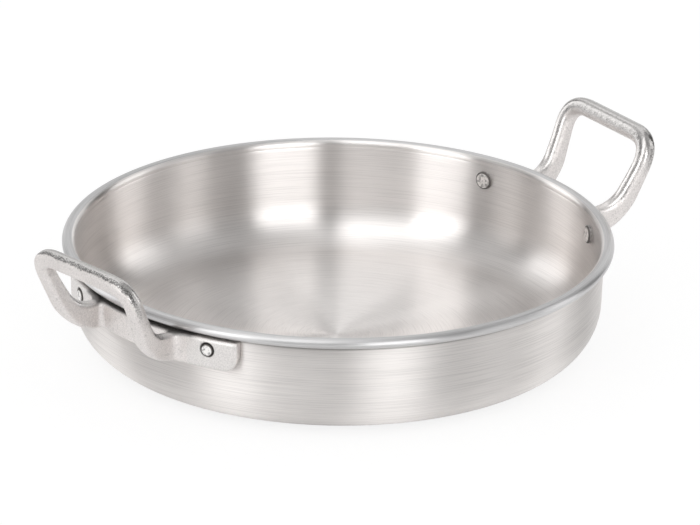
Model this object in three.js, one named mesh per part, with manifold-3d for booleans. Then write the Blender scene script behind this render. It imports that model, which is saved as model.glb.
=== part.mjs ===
// A two-handled aluminium pan: a spun body with a rolled rim, two cast loop handles and four rivets.
// Millimetres, +Z up. The pan stands on Z = 0 on its own axis and the handles lie along X.
import * as THREE from "three";
import { mergeVertices } from "three/addons/utils/BufferGeometryUtils.js";
import Module from "manifold-3d";

const { degToRad, lerp, smoothstep } = THREE.MathUtils;

// Pan body
const RIM_DIAMETER = 320;
const PAN_HEIGHT = 64.2;
const WALL_THICKNESS = 2;
const FLOOR_THICKNESS = 3;
const WALL_TAPER = degToRad(2.2);
const BASE_CORNER_RADIUS = 28;
const BEAD_WIDTH = 7.5;
const BEAD_HEIGHT = 6.1;
const BEAD_SLIT = 0.8;

// Handles
const HANDLE_SPREAD = degToRad(173.1);
const PAD_DROP = 7;
const PAD_HEIGHT = 18.5;
const PAD_THICKNESS = 6;
const PAD_MARGIN = 18.4;
const PAD_CORNER_RADIUS = 9;
const PAD_EDGE_RADIUS = 1.6;
const BRIDGE_STEP = 1;
const ROOT_WIDTH = 62.5;
const ROOT_LENGTH = 2.5;
const ROOT_RADIUS = 8.5;
const ROOT_RISE = 8.6;
const SWEEP_RADIUS = 24;
const GRIP_SLOPE = degToRad(67);
const GRIP_LENGTH = 34.3;
const GRIP_WIDTH = 80.5;
const GRIP_RADIUS = 15.5;
const ROD_WIDTH = 10.5;
const ROD_DEPTH = 9.2;
const ROD_TOP_RADIUS = 4.5;
const ROD_EDGE_RADIUS = 2.4;
const FLARE_LEAD = 2;
const FLARE_LENGTH = 57;

// Rivets
const RIVET_SPACING = 105;
const RIVET_DROP = 13.6;
const SHANK_DIAMETER = 6.4;
const HEAD_DIAMETER = 10.6;
const HEAD_HEIGHT = 1.9;
const TAIL_DIAMETER = 7.6;
const TAIL_DEPTH = 1.4;
const TAIL_PROUD = 0.5;
const TAIL_FLAT = 0.6;

// Fit between pieces, and how finely round faces are cut
const CLEARANCE = 0.3;
const PAN_FACETS = 72;
const RIVET_FACETS = 16;
const HANDLE_STEP = 5;
const CORNER_STEPS = 5;
const CURL_STEPS = 5;
const BEAD_STEPS = 10;
const TOP_STEPS = 3;
const EDGE_STEPS = 2;
const END_STEPS = 4;
const PATH_DIVISIONS = 2000;
const PROBE = 0.2;
const WELD = 1e-4;

const RIM_RADIUS = RIM_DIAMETER / 2;
const BEAD_Z = PAN_HEIGHT - BEAD_HEIGHT / 2;
const PAD_Z = PAN_HEIGHT - PAD_DROP - PAD_HEIGHT / 2;
const RIVET_Z = PAN_HEIGHT - RIVET_DROP;

const wasm = await Module();
wasm.setup();

/** Closed solid of a three.js geometry, ready to be cut. */
function solidOf(geometry) {
  geometry.deleteAttribute("normal");
  geometry.deleteAttribute("uv");
  const merged = mergeVertices(geometry, WELD);
  return new wasm.Manifold(
    new wasm.Mesh({
      numProp: 3,
      vertProperties: Float32Array.from(merged.attributes.position.array),
      triVerts: Uint32Array.from(merged.index.array),
    }),
  );
}

/** Flat-shaded geometry of a cut solid. */
function geometryOf(solid) {
  const mesh = solid.getMesh();
  const geometry = new THREE.BufferGeometry();
  geometry.setAttribute("position", new THREE.BufferAttribute(mesh.vertProperties, 3));
  geometry.setIndex(new THREE.BufferAttribute(mesh.triVerts, 1));
  const faceted = geometry.toNonIndexed();
  faceted.computeVertexNormals();
  return faceted;
}

/** Points of an elliptical arc, both ends included. Angles are in radians. */
function arc(x, y, radiusX, radiusY, from, to, steps) {
  const points = [];
  for (let i = 0; i <= steps; i += 1) {
    const angle = lerp(from, to, i / steps);
    points.push(new THREE.Vector2(x + radiusX * Math.cos(angle), y + radiusY * Math.sin(angle)));
  }
  return points;
}

/** Body of revolution about Z from a profile of radius and height. */
function turned(profile, facets) {
  return new THREE.LatheGeometry(profile, facets).rotateX(Math.PI / 2);
}

/** Radius of the outside of the pan wall at a height. */
function wallRadius(z) {
  const atBead = RIM_RADIUS - BEAD_WIDTH + WALL_THICKNESS / Math.cos(WALL_TAPER);
  return atBead + (z - BEAD_Z) * Math.tan(WALL_TAPER);
}

/** Profile of the spun body: base, outside, the rim rolled outward and down, then the inside. */
function panProfile() {
  const across = WALL_THICKNESS / Math.cos(WALL_TAPER);
  const outerRadius = BASE_CORNER_RADIUS;
  const outerCorner = wallRadius(outerRadius) - outerRadius / Math.cos(WALL_TAPER);
  const innerRadius = outerRadius - FLOOR_THICKNESS;
  const innerZ = FLOOR_THICKNESS + innerRadius;
  const innerCorner = wallRadius(innerZ) - across - innerRadius / Math.cos(WALL_TAPER);
  const beadX = RIM_RADIUS - BEAD_WIDTH / 2;
  const rollX = BEAD_WIDTH / 2;
  const rollY = BEAD_HEIGHT / 2;
  const edge = -Math.acos((wallRadius(BEAD_Z) + BEAD_SLIT - beadX) / rollX);
  const quarter = Math.PI / 2;
  return [
    new THREE.Vector2(0, 0),
    ...arc(outerCorner, outerRadius, outerRadius, outerRadius, -quarter, -WALL_TAPER, CORNER_STEPS),
    ...arc(beadX, BEAD_Z, rollX - WALL_THICKNESS, rollY - WALL_THICKNESS, Math.PI, edge, CURL_STEPS),
    ...arc(beadX, BEAD_Z, rollX, rollY, edge, Math.PI, BEAD_STEPS),
    ...arc(innerCorner, innerZ, innerRadius, innerRadius, -WALL_TAPER, -quarter, CORNER_STEPS),
    new THREE.Vector2(0, FLOOR_THICKNESS),
  ];
}

/** Slope, reach from the pan's axis and height of the handle seen from the side, `run` along it. */
function sideView(run) {
  const start = -WALL_TAPER;
  const sweep = GRIP_SLOPE - start;
  const straight = Math.min(run, ROOT_LENGTH);
  const turnedBy = Math.min(Math.max((run - ROOT_LENGTH) / SWEEP_RADIUS, 0), sweep);
  const last = Math.max(run - ROOT_LENGTH - SWEEP_RADIUS * sweep, 0);
  const slope = start + turnedBy;
  const root = padRadius() + straight * Math.cos(start) + last * Math.cos(GRIP_SLOPE);
  const rise = PAD_Z + straight * Math.sin(start) + last * Math.sin(GRIP_SLOPE);
  return {
    slope,
    reach: root + SWEEP_RADIUS * (Math.sin(slope) - Math.sin(start)),
    height: rise + SWEEP_RADIUS * (Math.cos(start) - Math.cos(slope)),
  };
}

/** Radius of the middle of the foot pads' thickness. */
function padRadius() {
  return wallRadius(PAD_Z) + (CLEARANCE + PAD_THICKNESS / 2) / Math.cos(WALL_TAPER);
}

/** Half the angle between the two rivets of a handle. */
function rivetAngle() {
  return Math.asin(RIVET_SPACING / 2 / wallRadius(RIVET_Z));
}

/** Point of the handle's middle surface, which bends round the wall at the pads and is straight above. */
function strapPoint(flat) {
  const side = sideView(flat.y);
  const radius = padRadius();
  const wrapped = 1 - smoothstep(flat.y, 0, ROOT_LENGTH + SWEEP_RADIUS / 2);
  const angle = flat.x / radius;
  const reach = side.reach - wrapped * radius * (1 - Math.cos(angle));
  return new THREE.Vector3(reach, lerp(flat.x, radius * Math.sin(angle), wrapped), side.height);
}

/** Rounds a corner of a flat path. */
function roundCorner(path, before, corner, after, radius) {
  const arrive = before.clone().sub(corner).normalize();
  const leave = after.clone().sub(corner).normalize();
  const cut = radius / Math.tan(arrive.angleTo(leave) / 2);
  const first = corner.clone().addScaledVector(arrive, cut);
  const second = corner.clone().addScaledVector(leave, cut);
  path.lineTo(first.x, first.y);
  path.quadraticCurveTo(corner.x, corner.y, second.x, second.y);
}

/** Centre line of the handle laid flat: along a pad, out along an arm, across the grip and back. */
function strapPath(padEnd) {
  const gripRun = ROOT_LENGTH + SWEEP_RADIUS * (GRIP_SLOPE + WALL_TAPER) + GRIP_LENGTH;
  const half = [
    new THREE.Vector2(padEnd, 0),
    new THREE.Vector2(ROOT_WIDTH / 2, 0),
    new THREE.Vector2(GRIP_WIDTH / 2, gripRun),
  ];
  const corners = [...half, ...half.map((p) => new THREE.Vector2(-p.x, p.y)).reverse()];
  const path = new THREE.Path();
  path.moveTo(corners[0].x, corners[0].y);
  for (let i = 1; i < 5; i += 1) {
    const radius = i === 1 || i === 4 ? ROOT_RADIUS : GRIP_RADIUS;
    roundCorner(path, corners[i - 1], corners[i], corners[i + 1], radius);
  }
  path.lineTo(corners[5].x, corners[5].y);
  return path;
}

/** Outline of the bar, x to the loop's inside and y to its top, with one radius above and one below. */
function barSection(inside, outside, top, bottom, topRadius, lowRadius) {
  const quarter = Math.PI / 2;
  const high = top - topRadius;
  const low = bottom + lowRadius;
  return [
    ...arc(inside - topRadius, high, topRadius, topRadius, 0, quarter, TOP_STEPS),
    ...arc(topRadius - outside, high, topRadius, topRadius, quarter, 2 * quarter, TOP_STEPS),
    ...arc(lowRadius - outside, low, lowRadius, lowRadius, 2 * quarter, 3 * quarter, EDGE_STEPS),
    ...arc(inside - lowRadius, low, lowRadius, lowRadius, 3 * quarter, 4 * quarter, EDGE_STEPS),
  ];
}

/** How far a round corner takes an outline back, `along` from its end. */
function cornerCut(along, radius) {
  const left = Math.max(radius - along, 0);
  return radius - Math.sqrt(radius * radius - left * left);
}

/** Section of the handle, `along` its centre line from the nearer end: a flat pad that turns into a rod. */
function sectionAt(along, bendAt) {
  const rod = smoothstep(along, bendAt - FLARE_LEAD, bendAt + 2 * ROOT_RADIUS + SWEEP_RADIUS / 2);
  const dip = smoothstep(along, bendAt - FLARE_LEAD, bendAt + 1.5 * ROOT_RADIUS);
  const slim = smoothstep(along, bendAt + 1.5 * ROOT_RADIUS, bendAt + FLARE_LENGTH);
  const half = lerp(PAD_THICKNESS, ROD_WIDTH, rod) / 2;
  const top = lerp(lerp(PAD_HEIGHT / 2, ROOT_RISE, dip), ROD_DEPTH / 2, slim);
  const outside = half - cornerCut(along, PAD_EDGE_RADIUS);
  const bottom = cornerCut(along, PAD_CORNER_RADIUS) - lerp(PAD_HEIGHT, ROD_DEPTH, rod) / 2;
  const topRadius = lerp(PAD_EDGE_RADIUS, ROD_TOP_RADIUS, rod);
  const bottomRadius = lerp(PAD_EDGE_RADIUS, ROD_EDGE_RADIUS, rod);
  return barSection(half, outside, top, bottom, topRadius, bottomRadius);
}

/** Positions along the centre line: close together round the pad ends, even between them. */
function strapStations(length) {
  const ends = [];
  for (let i = 0; i < END_STEPS; i += 1) {
    ends.push(PAD_CORNER_RADIUS * (1 - Math.cos((i * Math.PI) / (2 * END_STEPS))));
  }
  const middle = length - 2 * PAD_CORNER_RADIUS;
  const count = 2 * Math.ceil(middle / HANDLE_STEP / 2);
  const even = Array.from({ length: count + 1 }, (_, i) => PAD_CORNER_RADIUS + (middle * i) / count);
  return [...ends, ...even, ...ends.map((s) => length - s).reverse()];
}

/** Closed skin over rings of points, each end closed by a fan. */
function skin(rings) {
  const size = rings[0].length;
  const points = rings.flat();
  const index = [];
  for (let i = 0; i + 1 < rings.length; i += 1) {
    for (let j = 0; j < size; j += 1) {
      const a = i * size + j;
      const b = i * size + ((j + 1) % size);
      index.push(a, b + size, b, a, a + size, b + size);
    }
  }
  const last = (rings.length - 1) * size;
  for (let j = 1; j + 1 < size; j += 1) {
    index.push(0, j, j + 1, last, last + j + 1, last + j);
  }
  const geometry = new THREE.BufferGeometry().setFromPoints(points);
  geometry.setIndex(index);
  return geometry;
}

/** Plate along the wall that joins the two arms, set back from the pads' faces. */
function bridgeBlank() {
  const radius = padRadius();
  const length = ROOT_WIDTH + ROOT_RADIUS / 2;
  const up = new THREE.Vector3(Math.sin(WALL_TAPER), 0, Math.cos(WALL_TAPER));
  const inside = new THREE.Vector3(-Math.cos(WALL_TAPER), 0, Math.sin(WALL_TAPER));
  const half = PAD_THICKNESS / 2;
  const high = PAD_HEIGHT / 2 - BRIDGE_STEP;
  const outline = barSection(half, half - BRIDGE_STEP, high, -high, PAD_EDGE_RADIUS, PAD_EDGE_RADIUS);
  const middle = new THREE.Vector3(radius, 0, PAD_Z);
  const flat = outline.map((p) => middle.clone().addScaledVector(inside, p.x).addScaledVector(up, p.y));
  const axis = new THREE.Vector3(0, 0, 1);
  const count = Math.ceil(length / HANDLE_STEP);
  const angles = Array.from({ length: count + 1 }, (_, i) => (length / radius) * (0.5 - i / count));
  return skin(angles.map((angle) => flat.map((p) => p.clone().applyAxisAngle(axis, angle))));
}

/** Cast loop of the handle, pad to pad, before it is cut, standing out along +X. */
function loopBlank() {
  const padEnd = padRadius() * rivetAngle() + PAD_MARGIN;
  const path = strapPath(padEnd);
  path.arcLengthDivisions = PATH_DIVISIONS;
  const length = path.getLength();
  const bendAt = padEnd - ROOT_WIDTH / 2 - ROOT_RADIUS;
  const pointAt = (s) => strapPoint(path.getPointAt(Math.min(Math.max(s / length, 0), 1)));
  const rings = strapStations(length).map((s) => {
    const centre = pointAt(s);
    const tangent = pointAt(s + PROBE).sub(pointAt(s - PROBE)).normalize();
    const { slope } = sideView(path.getPointAt(s / length).y);
    const up = new THREE.Vector3(-Math.sin(slope), 0, Math.cos(slope));
    up.addScaledVector(tangent, -up.dot(tangent)).normalize();
    const inside = new THREE.Vector3().crossVectors(tangent, up);
    const place = (p) => centre.clone().addScaledVector(inside, p.x).addScaledVector(up, p.y);
    return sectionAt(Math.min(s, length - s), bendAt).map(place);
  });
  return skin(rings);
}

/** Placement of a rivet in its handle's frame: X out through the wall, the origin on the wall's outside. */
function rivetSeat(side) {
  const turn = new THREE.Matrix4().makeRotationZ(side * rivetAngle());
  const move = new THREE.Matrix4().makeTranslation(wallRadius(RIVET_Z), 0, RIVET_Z);
  const tilt = new THREE.Matrix4().makeRotationY(WALL_TAPER);
  return turn.multiply(move).multiply(tilt);
}

/** Body of revolution about X from a profile of radius and distance along X. */
function pin(profile) {
  return new THREE.LatheGeometry(profile, RIVET_FACETS).rotateZ(-Math.PI / 2);
}

/** Rivet: a low flat head inside the pan, a plain shank and a tail spread into the pad's countersink. */
function rivetGeometry() {
  const head = HEAD_DIAMETER / 2;
  const shank = SHANK_DIAMETER / 2;
  const tail = TAIL_DIAMETER / 2;
  const inside = wallRadius(RIVET_Z) - WALL_THICKNESS;
  const seat = -WALL_THICKNESS - CLEARANCE - (inside - Math.sqrt(inside * inside - head * head));
  const face = CLEARANCE + PAD_THICKNESS;
  const crown = HEAD_HEIGHT / 2;
  return pin([
    new THREE.Vector2(0, seat - HEAD_HEIGHT),
    ...arc(head - crown, seat - crown, crown, crown, -Math.PI / 2, 0, 3),
    new THREE.Vector2(head, seat),
    new THREE.Vector2(shank, seat),
    new THREE.Vector2(shank, face - TAIL_DEPTH),
    new THREE.Vector2(tail, face),
    new THREE.Vector2(TAIL_FLAT * tail, face + TAIL_PROUD),
    new THREE.Vector2(0, face + TAIL_PROUD),
  ]);
}

/** Cutter for a rivet's hole through the wall and the pad, countersunk outside. */
function rivetHole() {
  const hole = SHANK_DIAMETER / 2 + CLEARANCE;
  const sink = TAIL_DIAMETER / 2 + CLEARANCE;
  const face = CLEARANCE + PAD_THICKNESS;
  const beyond = 3;
  return pin([
    new THREE.Vector2(0, -WALL_THICKNESS - beyond),
    new THREE.Vector2(hole, -WALL_THICKNESS - beyond),
    new THREE.Vector2(hole, face - TAIL_DEPTH),
    new THREE.Vector2(sink, face),
    new THREE.Vector2(sink, face + beyond),
    new THREE.Vector2(0, face + beyond),
  ]);
}

/** The space the pan wall takes up, with the fit left round it. */
function wallCutter() {
  const facetSag = 1 / Math.cos(Math.PI / PAN_FACETS);
  const radiusAt = (z) => (wallRadius(z) + CLEARANCE / Math.cos(WALL_TAPER)) * facetSag;
  return turned(
    [
      new THREE.Vector2(0, 0),
      new THREE.Vector2(radiusAt(0), 0),
      new THREE.Vector2(radiusAt(PAN_HEIGHT), PAN_HEIGHT),
      new THREE.Vector2(0, PAN_HEIGHT),
    ],
    PAN_FACETS,
  );
}

/** Handle cut to the wall and drilled for its rivets. */
function handleGeometry() {
  let handle = solidOf(loopBlank()).add(solidOf(bridgeBlank())).subtract(solidOf(wallCutter()));
  for (const side of [-1, 1]) {
    handle = handle.subtract(solidOf(rivetHole().applyMatrix4(rivetSeat(side))));
  }
  return geometryOf(handle);
}

/** Spun body drilled for every rivet. */
function panGeometry(handleTurns) {
  let pan = solidOf(turned(panProfile(), PAN_FACETS));
  for (const handleTurn of handleTurns) {
    for (const side of [-1, 1]) {
      const place = new THREE.Matrix4().makeRotationZ(handleTurn).multiply(rivetSeat(side));
      pan = pan.subtract(solidOf(rivetHole().applyMatrix4(place)));
    }
  }
  return geometryOf(pan);
}

/** Named piece with its own material. */
function piece(name, geometry, colour, roughness) {
  const material = new THREE.MeshStandardMaterial({ color: colour, roughness, metalness: 1 });
  const mesh = new THREE.Mesh(geometry, material);
  mesh.name = name;
  return mesh;
}

const part = new THREE.Group();
part.name = "two_handled_pan";

const swing = (Math.PI - HANDLE_SPREAD) / 2;
const handleTurns = { right: -swing, left: Math.PI + swing };
part.add(piece("pan_body", panGeometry(Object.values(handleTurns)), 0xc9c7c4, 0.32));

for (const [name, turn] of Object.entries(handleTurns)) {
  const group = new THREE.Group();
  group.rotation.z = turn;
  group.add(piece(`handle_${name}`, handleGeometry(), 0xbdb9b5, 0.5));
  for (const side of [-1, 1]) {
    const toFront = name === "right" ? side < 0 : side > 0;
    const rivet = rivetGeometry().applyMatrix4(rivetSeat(side));
    group.add(piece(`rivet_${name}_${toFront ? "front" : "rear"}`, rivet, 0xb4b2b0, 0.42));
  }
  part.add(group);
}

export default part;
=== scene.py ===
"""Two-handled spun aluminium pan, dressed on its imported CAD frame.

Lengths are written in millimetres, as on a workshop drawing, and become metres when a mesh is made.
"""
import logging
import math
from dataclasses import dataclass
from enum import Enum
from typing import Union

import bpy
import numpy as np
from mathutils import Matrix, Vector
from numpy.typing import NDArray


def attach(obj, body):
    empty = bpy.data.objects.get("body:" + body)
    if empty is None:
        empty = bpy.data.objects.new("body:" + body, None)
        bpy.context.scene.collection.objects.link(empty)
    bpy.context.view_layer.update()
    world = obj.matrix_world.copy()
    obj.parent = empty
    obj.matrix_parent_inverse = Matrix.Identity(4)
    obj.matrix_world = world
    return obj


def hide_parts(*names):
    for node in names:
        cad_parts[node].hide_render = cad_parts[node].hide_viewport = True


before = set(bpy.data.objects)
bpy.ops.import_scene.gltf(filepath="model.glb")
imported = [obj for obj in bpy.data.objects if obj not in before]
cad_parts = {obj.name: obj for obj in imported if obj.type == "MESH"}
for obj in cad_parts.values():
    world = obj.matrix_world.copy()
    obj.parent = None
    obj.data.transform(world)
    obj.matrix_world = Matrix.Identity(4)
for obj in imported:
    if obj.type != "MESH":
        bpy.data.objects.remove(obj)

Array = NDArray[np.float64]
Whole = NDArray[np.int64]
Values = Union[Array, float]
Span = tuple[float, float]
Triple = tuple[float, float, float]
Colour = tuple[float, float, float]
Socket = bpy.types.NodeSocket
Feed = Union[Socket, float, Triple]

MM = 0.001
QUARTER = math.pi / 2
FULL_TURN = 2 * math.pi
CORNER_POINTS = 7
LOG = logging.getLogger("pan")


class Side(Enum):
    """The two ends of the pan's long axis, where its handles are fixed."""

    RIGHT = "right"
    LEFT = "left"


class Place(Enum):
    """The two rivets of a handle, seen from the pan's front."""

    FRONT = "front"
    REAR = "rear"


class Zone(Enum):
    """The bands of the spun body, in the order of its material slots."""

    INSIDE = 0
    RIM = 1
    OUTSIDE = 2
    BASE = 3


def smooth_step(value: Array, low: float, high: float) -> Array:
    """Rises from 0 at low to 1 at high with level ends: three times the square less twice the cube."""
    part = np.clip((value - low) / (high - low), 0.0, 1.0)
    return part * part * (3.0 - 2.0 * part)


def blend(start: Values, end: Values, share: Array) -> Array:
    """Straight mix of two values by a share from 0 to 1."""
    return start + (end - start) * share


def arc(centre: Span, radii: Span, start: float, end: float, count: int) -> Array:
    """Points of an elliptical arc: the centre plus radii times cosine and sine of an even angle.

    Args:
        centre: Middle of the ellipse.
        radii: Its two half axes.
        start: First angle in radians.
        end: Last angle in radians.
        count: Number of points, both ends included.

    Returns:
        An array of count points in the plane.
    """
    angle = np.linspace(start, end, count)
    return np.stack([centre[0] + radii[0] * np.cos(angle), centre[1] + radii[1] * np.sin(angle)], -1)


def line(start: Span, end: Span, count: int) -> Array:
    """Even points between two ends, without the ends themselves."""
    share = np.linspace(0.0, 1.0, count + 2)[1:-1, None]
    return np.asarray(start) * (1.0 - share) + np.asarray(end) * share


def turn_z(points: Array, angle: float) -> Array:
    """Points turned about the Z axis by an angle in radians."""
    cosine, sine = math.cos(angle), math.sin(angle)
    return points @ np.array([[cosine, sine, 0.0], [-sine, cosine, 0.0], [0.0, 0.0, 1.0]])


def turned_faces(rings: int, columns: int) -> list[Whole]:
    """Faces of a turned skin: quads between neighbouring rings and a fan to each of two poles.

    Args:
        rings: Number of rings, whose points come first and the two poles after them.
        columns: Number of points in a ring.

    Returns:
        The quads, the fan of the first pole and the fan of the last.
    """
    number = np.arange(rings * columns).reshape(rings, columns)
    after = np.roll(number, -1, axis=1)
    quads = np.stack([number[:-1], after[:-1], after[1:], number[1:]], -1).reshape(-1, 4)
    first, last = (np.full(columns, number.size + pole) for pole in (0, 1))
    below = np.stack([first, after[0], number[0]], -1)
    above = np.stack([number[-1], after[-1], last], -1)
    return [quads, below, above]


def make_mesh(name: str, points: Array, faces: list[Whole]) -> bpy.types.Mesh:
    """Smooth-shaded mesh from whole arrays.

    Args:
        name: Name of the mesh.
        points: Corner points in millimetres.
        faces: One array of point numbers for each count of corners.

    Returns:
        The new mesh, in metres.
    """
    corners = np.concatenate([face.ravel() for face in faces])
    sizes = np.concatenate([np.full(len(face), face.shape[1]) for face in faces])
    mesh = bpy.data.meshes.new(name)
    mesh.vertices.add(len(points))
    mesh.vertices.foreach_set("co", (points * MM).astype(np.float32).ravel())
    mesh.loops.add(len(corners))
    mesh.loops.foreach_set("vertex_index", corners.astype(np.int32))
    mesh.polygons.add(len(sizes))
    mesh.polygons.foreach_set("loop_start", (np.cumsum(sizes) - sizes).astype(np.int32))
    mesh.update(calc_edges=True)
    mesh.validate()
    mesh.shade_smooth()
    return mesh


def put_in_scene(name: str, mesh: bpy.types.Mesh) -> bpy.types.Object:
    """Places a mesh in the scene at the origin.

    Args:
        name: Name of the object.
        mesh: What it holds.

    Returns:
        The new object.
    """
    thing = bpy.data.objects.new(name, mesh)
    bpy.context.scene.collection.objects.link(thing)
    return thing


def vectors_of(mesh: bpy.types.Mesh, kind: str) -> Array:
    """Reads one vector for each corner point of a mesh.

    Args:
        mesh: The mesh.
        kind: "co" for places in metres, "normal" for outward directions.

    Returns:
        The vectors as rows.
    """
    flat = np.empty(len(mesh.vertices) * 3, np.float32)
    mesh.vertices.foreach_get(kind, flat)
    return flat.reshape(-1, 3).astype(np.float64)


def points_of(mesh: bpy.types.Mesh) -> Array:
    """Corner points of a mesh in millimetres."""
    return vectors_of(mesh, "co") / MM


def set_points(mesh: bpy.types.Mesh, points: Array) -> None:
    """Moves the corner points of a mesh to places in millimetres."""
    mesh.vertices.foreach_set("co", (points * MM).astype(np.float32).ravel())
    mesh.update()


def swell(mesh: bpy.types.Mesh, distance: float) -> None:
    """Moves the corner points outward along their normals by a distance in millimetres."""
    set_points(mesh, points_of(mesh) + distance * vectors_of(mesh, "normal"))


def set_values(mesh: bpy.types.Mesh, name: str, values: Array) -> None:
    """Keeps one number for each corner point as a named attribute."""
    layer = mesh.attributes.new(name, "FLOAT", "POINT")
    layer.data.foreach_set("value", values.astype(np.float32))


def recast(mesh: bpy.types.Mesh, grain: float, smoothing: int) -> bpy.types.Mesh:
    """One closed skin over a mesh of overlapping bodies, eased as a casting is.

    Args:
        mesh: The overlapping bodies, which are removed.
        grain: Size of the new faces in millimetres.
        smoothing: Rounds of easing.

    Returns:
        The new mesh.
    """
    thing = put_in_scene("recast", mesh)
    remesh = thing.modifiers.new("skin", "REMESH")
    remesh.mode = "VOXEL"
    remesh.voxel_size = grain * MM
    remesh.use_smooth_shade = True
    ease = thing.modifiers.new("ease", "SMOOTH")
    ease.factor = 0.5
    ease.iterations = smoothing
    ready = thing.evaluated_get(bpy.context.evaluated_depsgraph_get())
    result = bpy.data.meshes.new_from_object(ready)
    bpy.data.objects.remove(thing)
    bpy.data.meshes.remove(mesh)
    result.shade_smooth()
    return result


class Graph:
    """Short calls for building one shader node tree."""

    def __init__(self, tree: bpy.types.NodeTree) -> None:
        """Takes the tree that the nodes go into."""
        self.tree = tree

    def node(self, kind: str, feeds: dict[str, Feed] | None = None, **settings: object) -> bpy.types.Node:
        """Adds a node.

        Args:
            kind: Type of the node.
            feeds: Values or sockets for its inputs, by name.
            settings: The node's own options.

        Returns:
            The new node.
        """
        node = self.tree.nodes.new(kind)
        for name, value in settings.items():
            setattr(node, name, value)
        for name, value in (feeds or {}).items():
            self.feed(node.inputs[name], value)
        return node

    def feed(self, target: Socket, value: Feed) -> None:
        """Links a socket to an input, or writes a plain value on it.

        Args:
            target: The input.
            value: Socket, number or three numbers, which become a full colour where one is wanted.
        """
        if isinstance(value, bpy.types.NodeSocket):
            self.tree.links.new(value, target)
        elif isinstance(value, tuple) and target.type == "RGBA":
            target.default_value = (*value, 1.0)
        else:
            target.default_value = value

    def numbered(self, node: bpy.types.Node, feeds: dict[int, Feed]) -> bpy.types.Node:
        """Feeds a node whose inputs share names.

        Args:
            node: The node.
            feeds: Values or sockets by the number of the input.

        Returns:
            The same node.
        """
        for number, value in feeds.items():
            self.feed(node.inputs[number], value)
        return node

    def math(self, operation: str, first: Feed, second: Feed = 0.0, clamp: bool = False) -> Socket:
        """Result of a Math node on two values."""
        node = self.node("ShaderNodeMath", operation=operation, use_clamp=clamp)
        return self.numbered(node, {0: first, 1: second}).outputs[0]

    def product(self, first: Feed, *others: Feed) -> Feed:
        """Multiplies values one after another.

        Args:
            first: The first value.
            others: The values that it is multiplied by.

        Returns:
            The product.
        """
        for other in others:
            first = self.math("MULTIPLY", first, other)
        return first

    def vector(self, operation: str, *vectors: Feed) -> bpy.types.Node:
        """Vector Math node on one or two vectors."""
        return self.numbered(self.node("ShaderNodeVectorMath", operation=operation), dict(enumerate(vectors)))

    def ease(self, value: Feed, low: float, high: float, start: float = 0.0, end: float = 1.0) -> Socket:
        """Value mapped with level ends from one range to another."""
        feeds = {"Value": value, "From Min": low, "From Max": high, "To Min": start, "To Max": end}
        return self.node("ShaderNodeMapRange", feeds, interpolation_type="SMOOTHSTEP").outputs["Result"]

    def scale(self, value: Feed, low: float, high: float) -> Socket:
        """Value from 0 to 1 spread between two ends."""
        feeds = {"Value": value, "To Min": low, "To Max": high}
        return self.node("ShaderNodeMapRange", feeds).outputs["Result"]

    def mix(self, share: Feed, first: Feed, second: Feed, way: str = "MIX") -> Socket:
        """Colour between two colours by a share."""
        node = self.node("ShaderNodeMix", data_type="RGBA", blend_type=way)
        return self.numbered(node, {0: share, 6: first, 7: second}).outputs[2]

    def mix_number(self, share: Feed, first: Feed, second: Feed) -> Socket:
        """Number between two numbers by a share."""
        node = self.node("ShaderNodeMix", data_type="FLOAT")
        return self.numbered(node, {0: share, 2: first, 3: second}).outputs[0]

    def noise(self, vector: Socket, size: float, detail: float = 2.0, roughness: float = 0.5) -> Socket:
        """Noise with features about a size in millimetres."""
        feeds = {"Vector": vector, "Scale": 1.0 / (size * MM), "Detail": detail, "Roughness": roughness}
        return self.node("ShaderNodeTexNoise", feeds).outputs["Fac"]

    def place(self) -> Socket:
        """Object coordinates of the surface."""
        return self.node("ShaderNodeTexCoord").outputs["Object"]

    def attribute(self, name: str) -> Socket:
        """A number kept on the mesh under a name."""
        return self.node("ShaderNodeAttribute", attribute_name=name).outputs["Fac"]

    def bump(self, shader: bpy.types.Node, depth: float, height: Socket) -> None:
        """Gives a shader relief of a depth in millimetres."""
        feeds = {"Strength": 1.0, "Distance": depth * MM, "Height": height}
        self.feed(shader.inputs["Normal"], self.node("ShaderNodeBump", feeds).outputs[0])


class Effect:
    """A surface effect that several finishes share, kept as one shader node group."""

    name = "effect"
    inputs: tuple[tuple[str, str], ...] = ()
    outputs: tuple[str, ...] = ()

    def group(self) -> bpy.types.NodeTree:
        """Makes the effect's node group the first time it is asked for.

        Returns:
            The node group.
        """
        known = bpy.data.node_groups.get(self.name)
        if known is not None:
            return known
        tree = bpy.data.node_groups.new(self.name, "ShaderNodeTree")
        for name, kind in self.inputs:
            tree.interface.new_socket(name=name, in_out="INPUT", socket_type=kind)
        for name in self.outputs:
            tree.interface.new_socket(name=name, in_out="OUTPUT", socket_type="NodeSocketFloat")
        graph = Graph(tree)
        self.fill(graph, graph.node("NodeGroupInput"), graph.node("NodeGroupOutput"))
        return tree

    def fill(self, graph: Graph, start: bpy.types.Node, end: bpy.types.Node) -> None:
        """Adds the nodes between the group's inputs and outputs."""
        raise NotImplementedError

    def use(self, graph: Graph, feeds: dict[str, Feed]) -> bpy.types.Node:
        """Places the effect in a material with its own values."""
        return graph.node("ShaderNodeGroup", feeds, node_tree=self.group())


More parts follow.
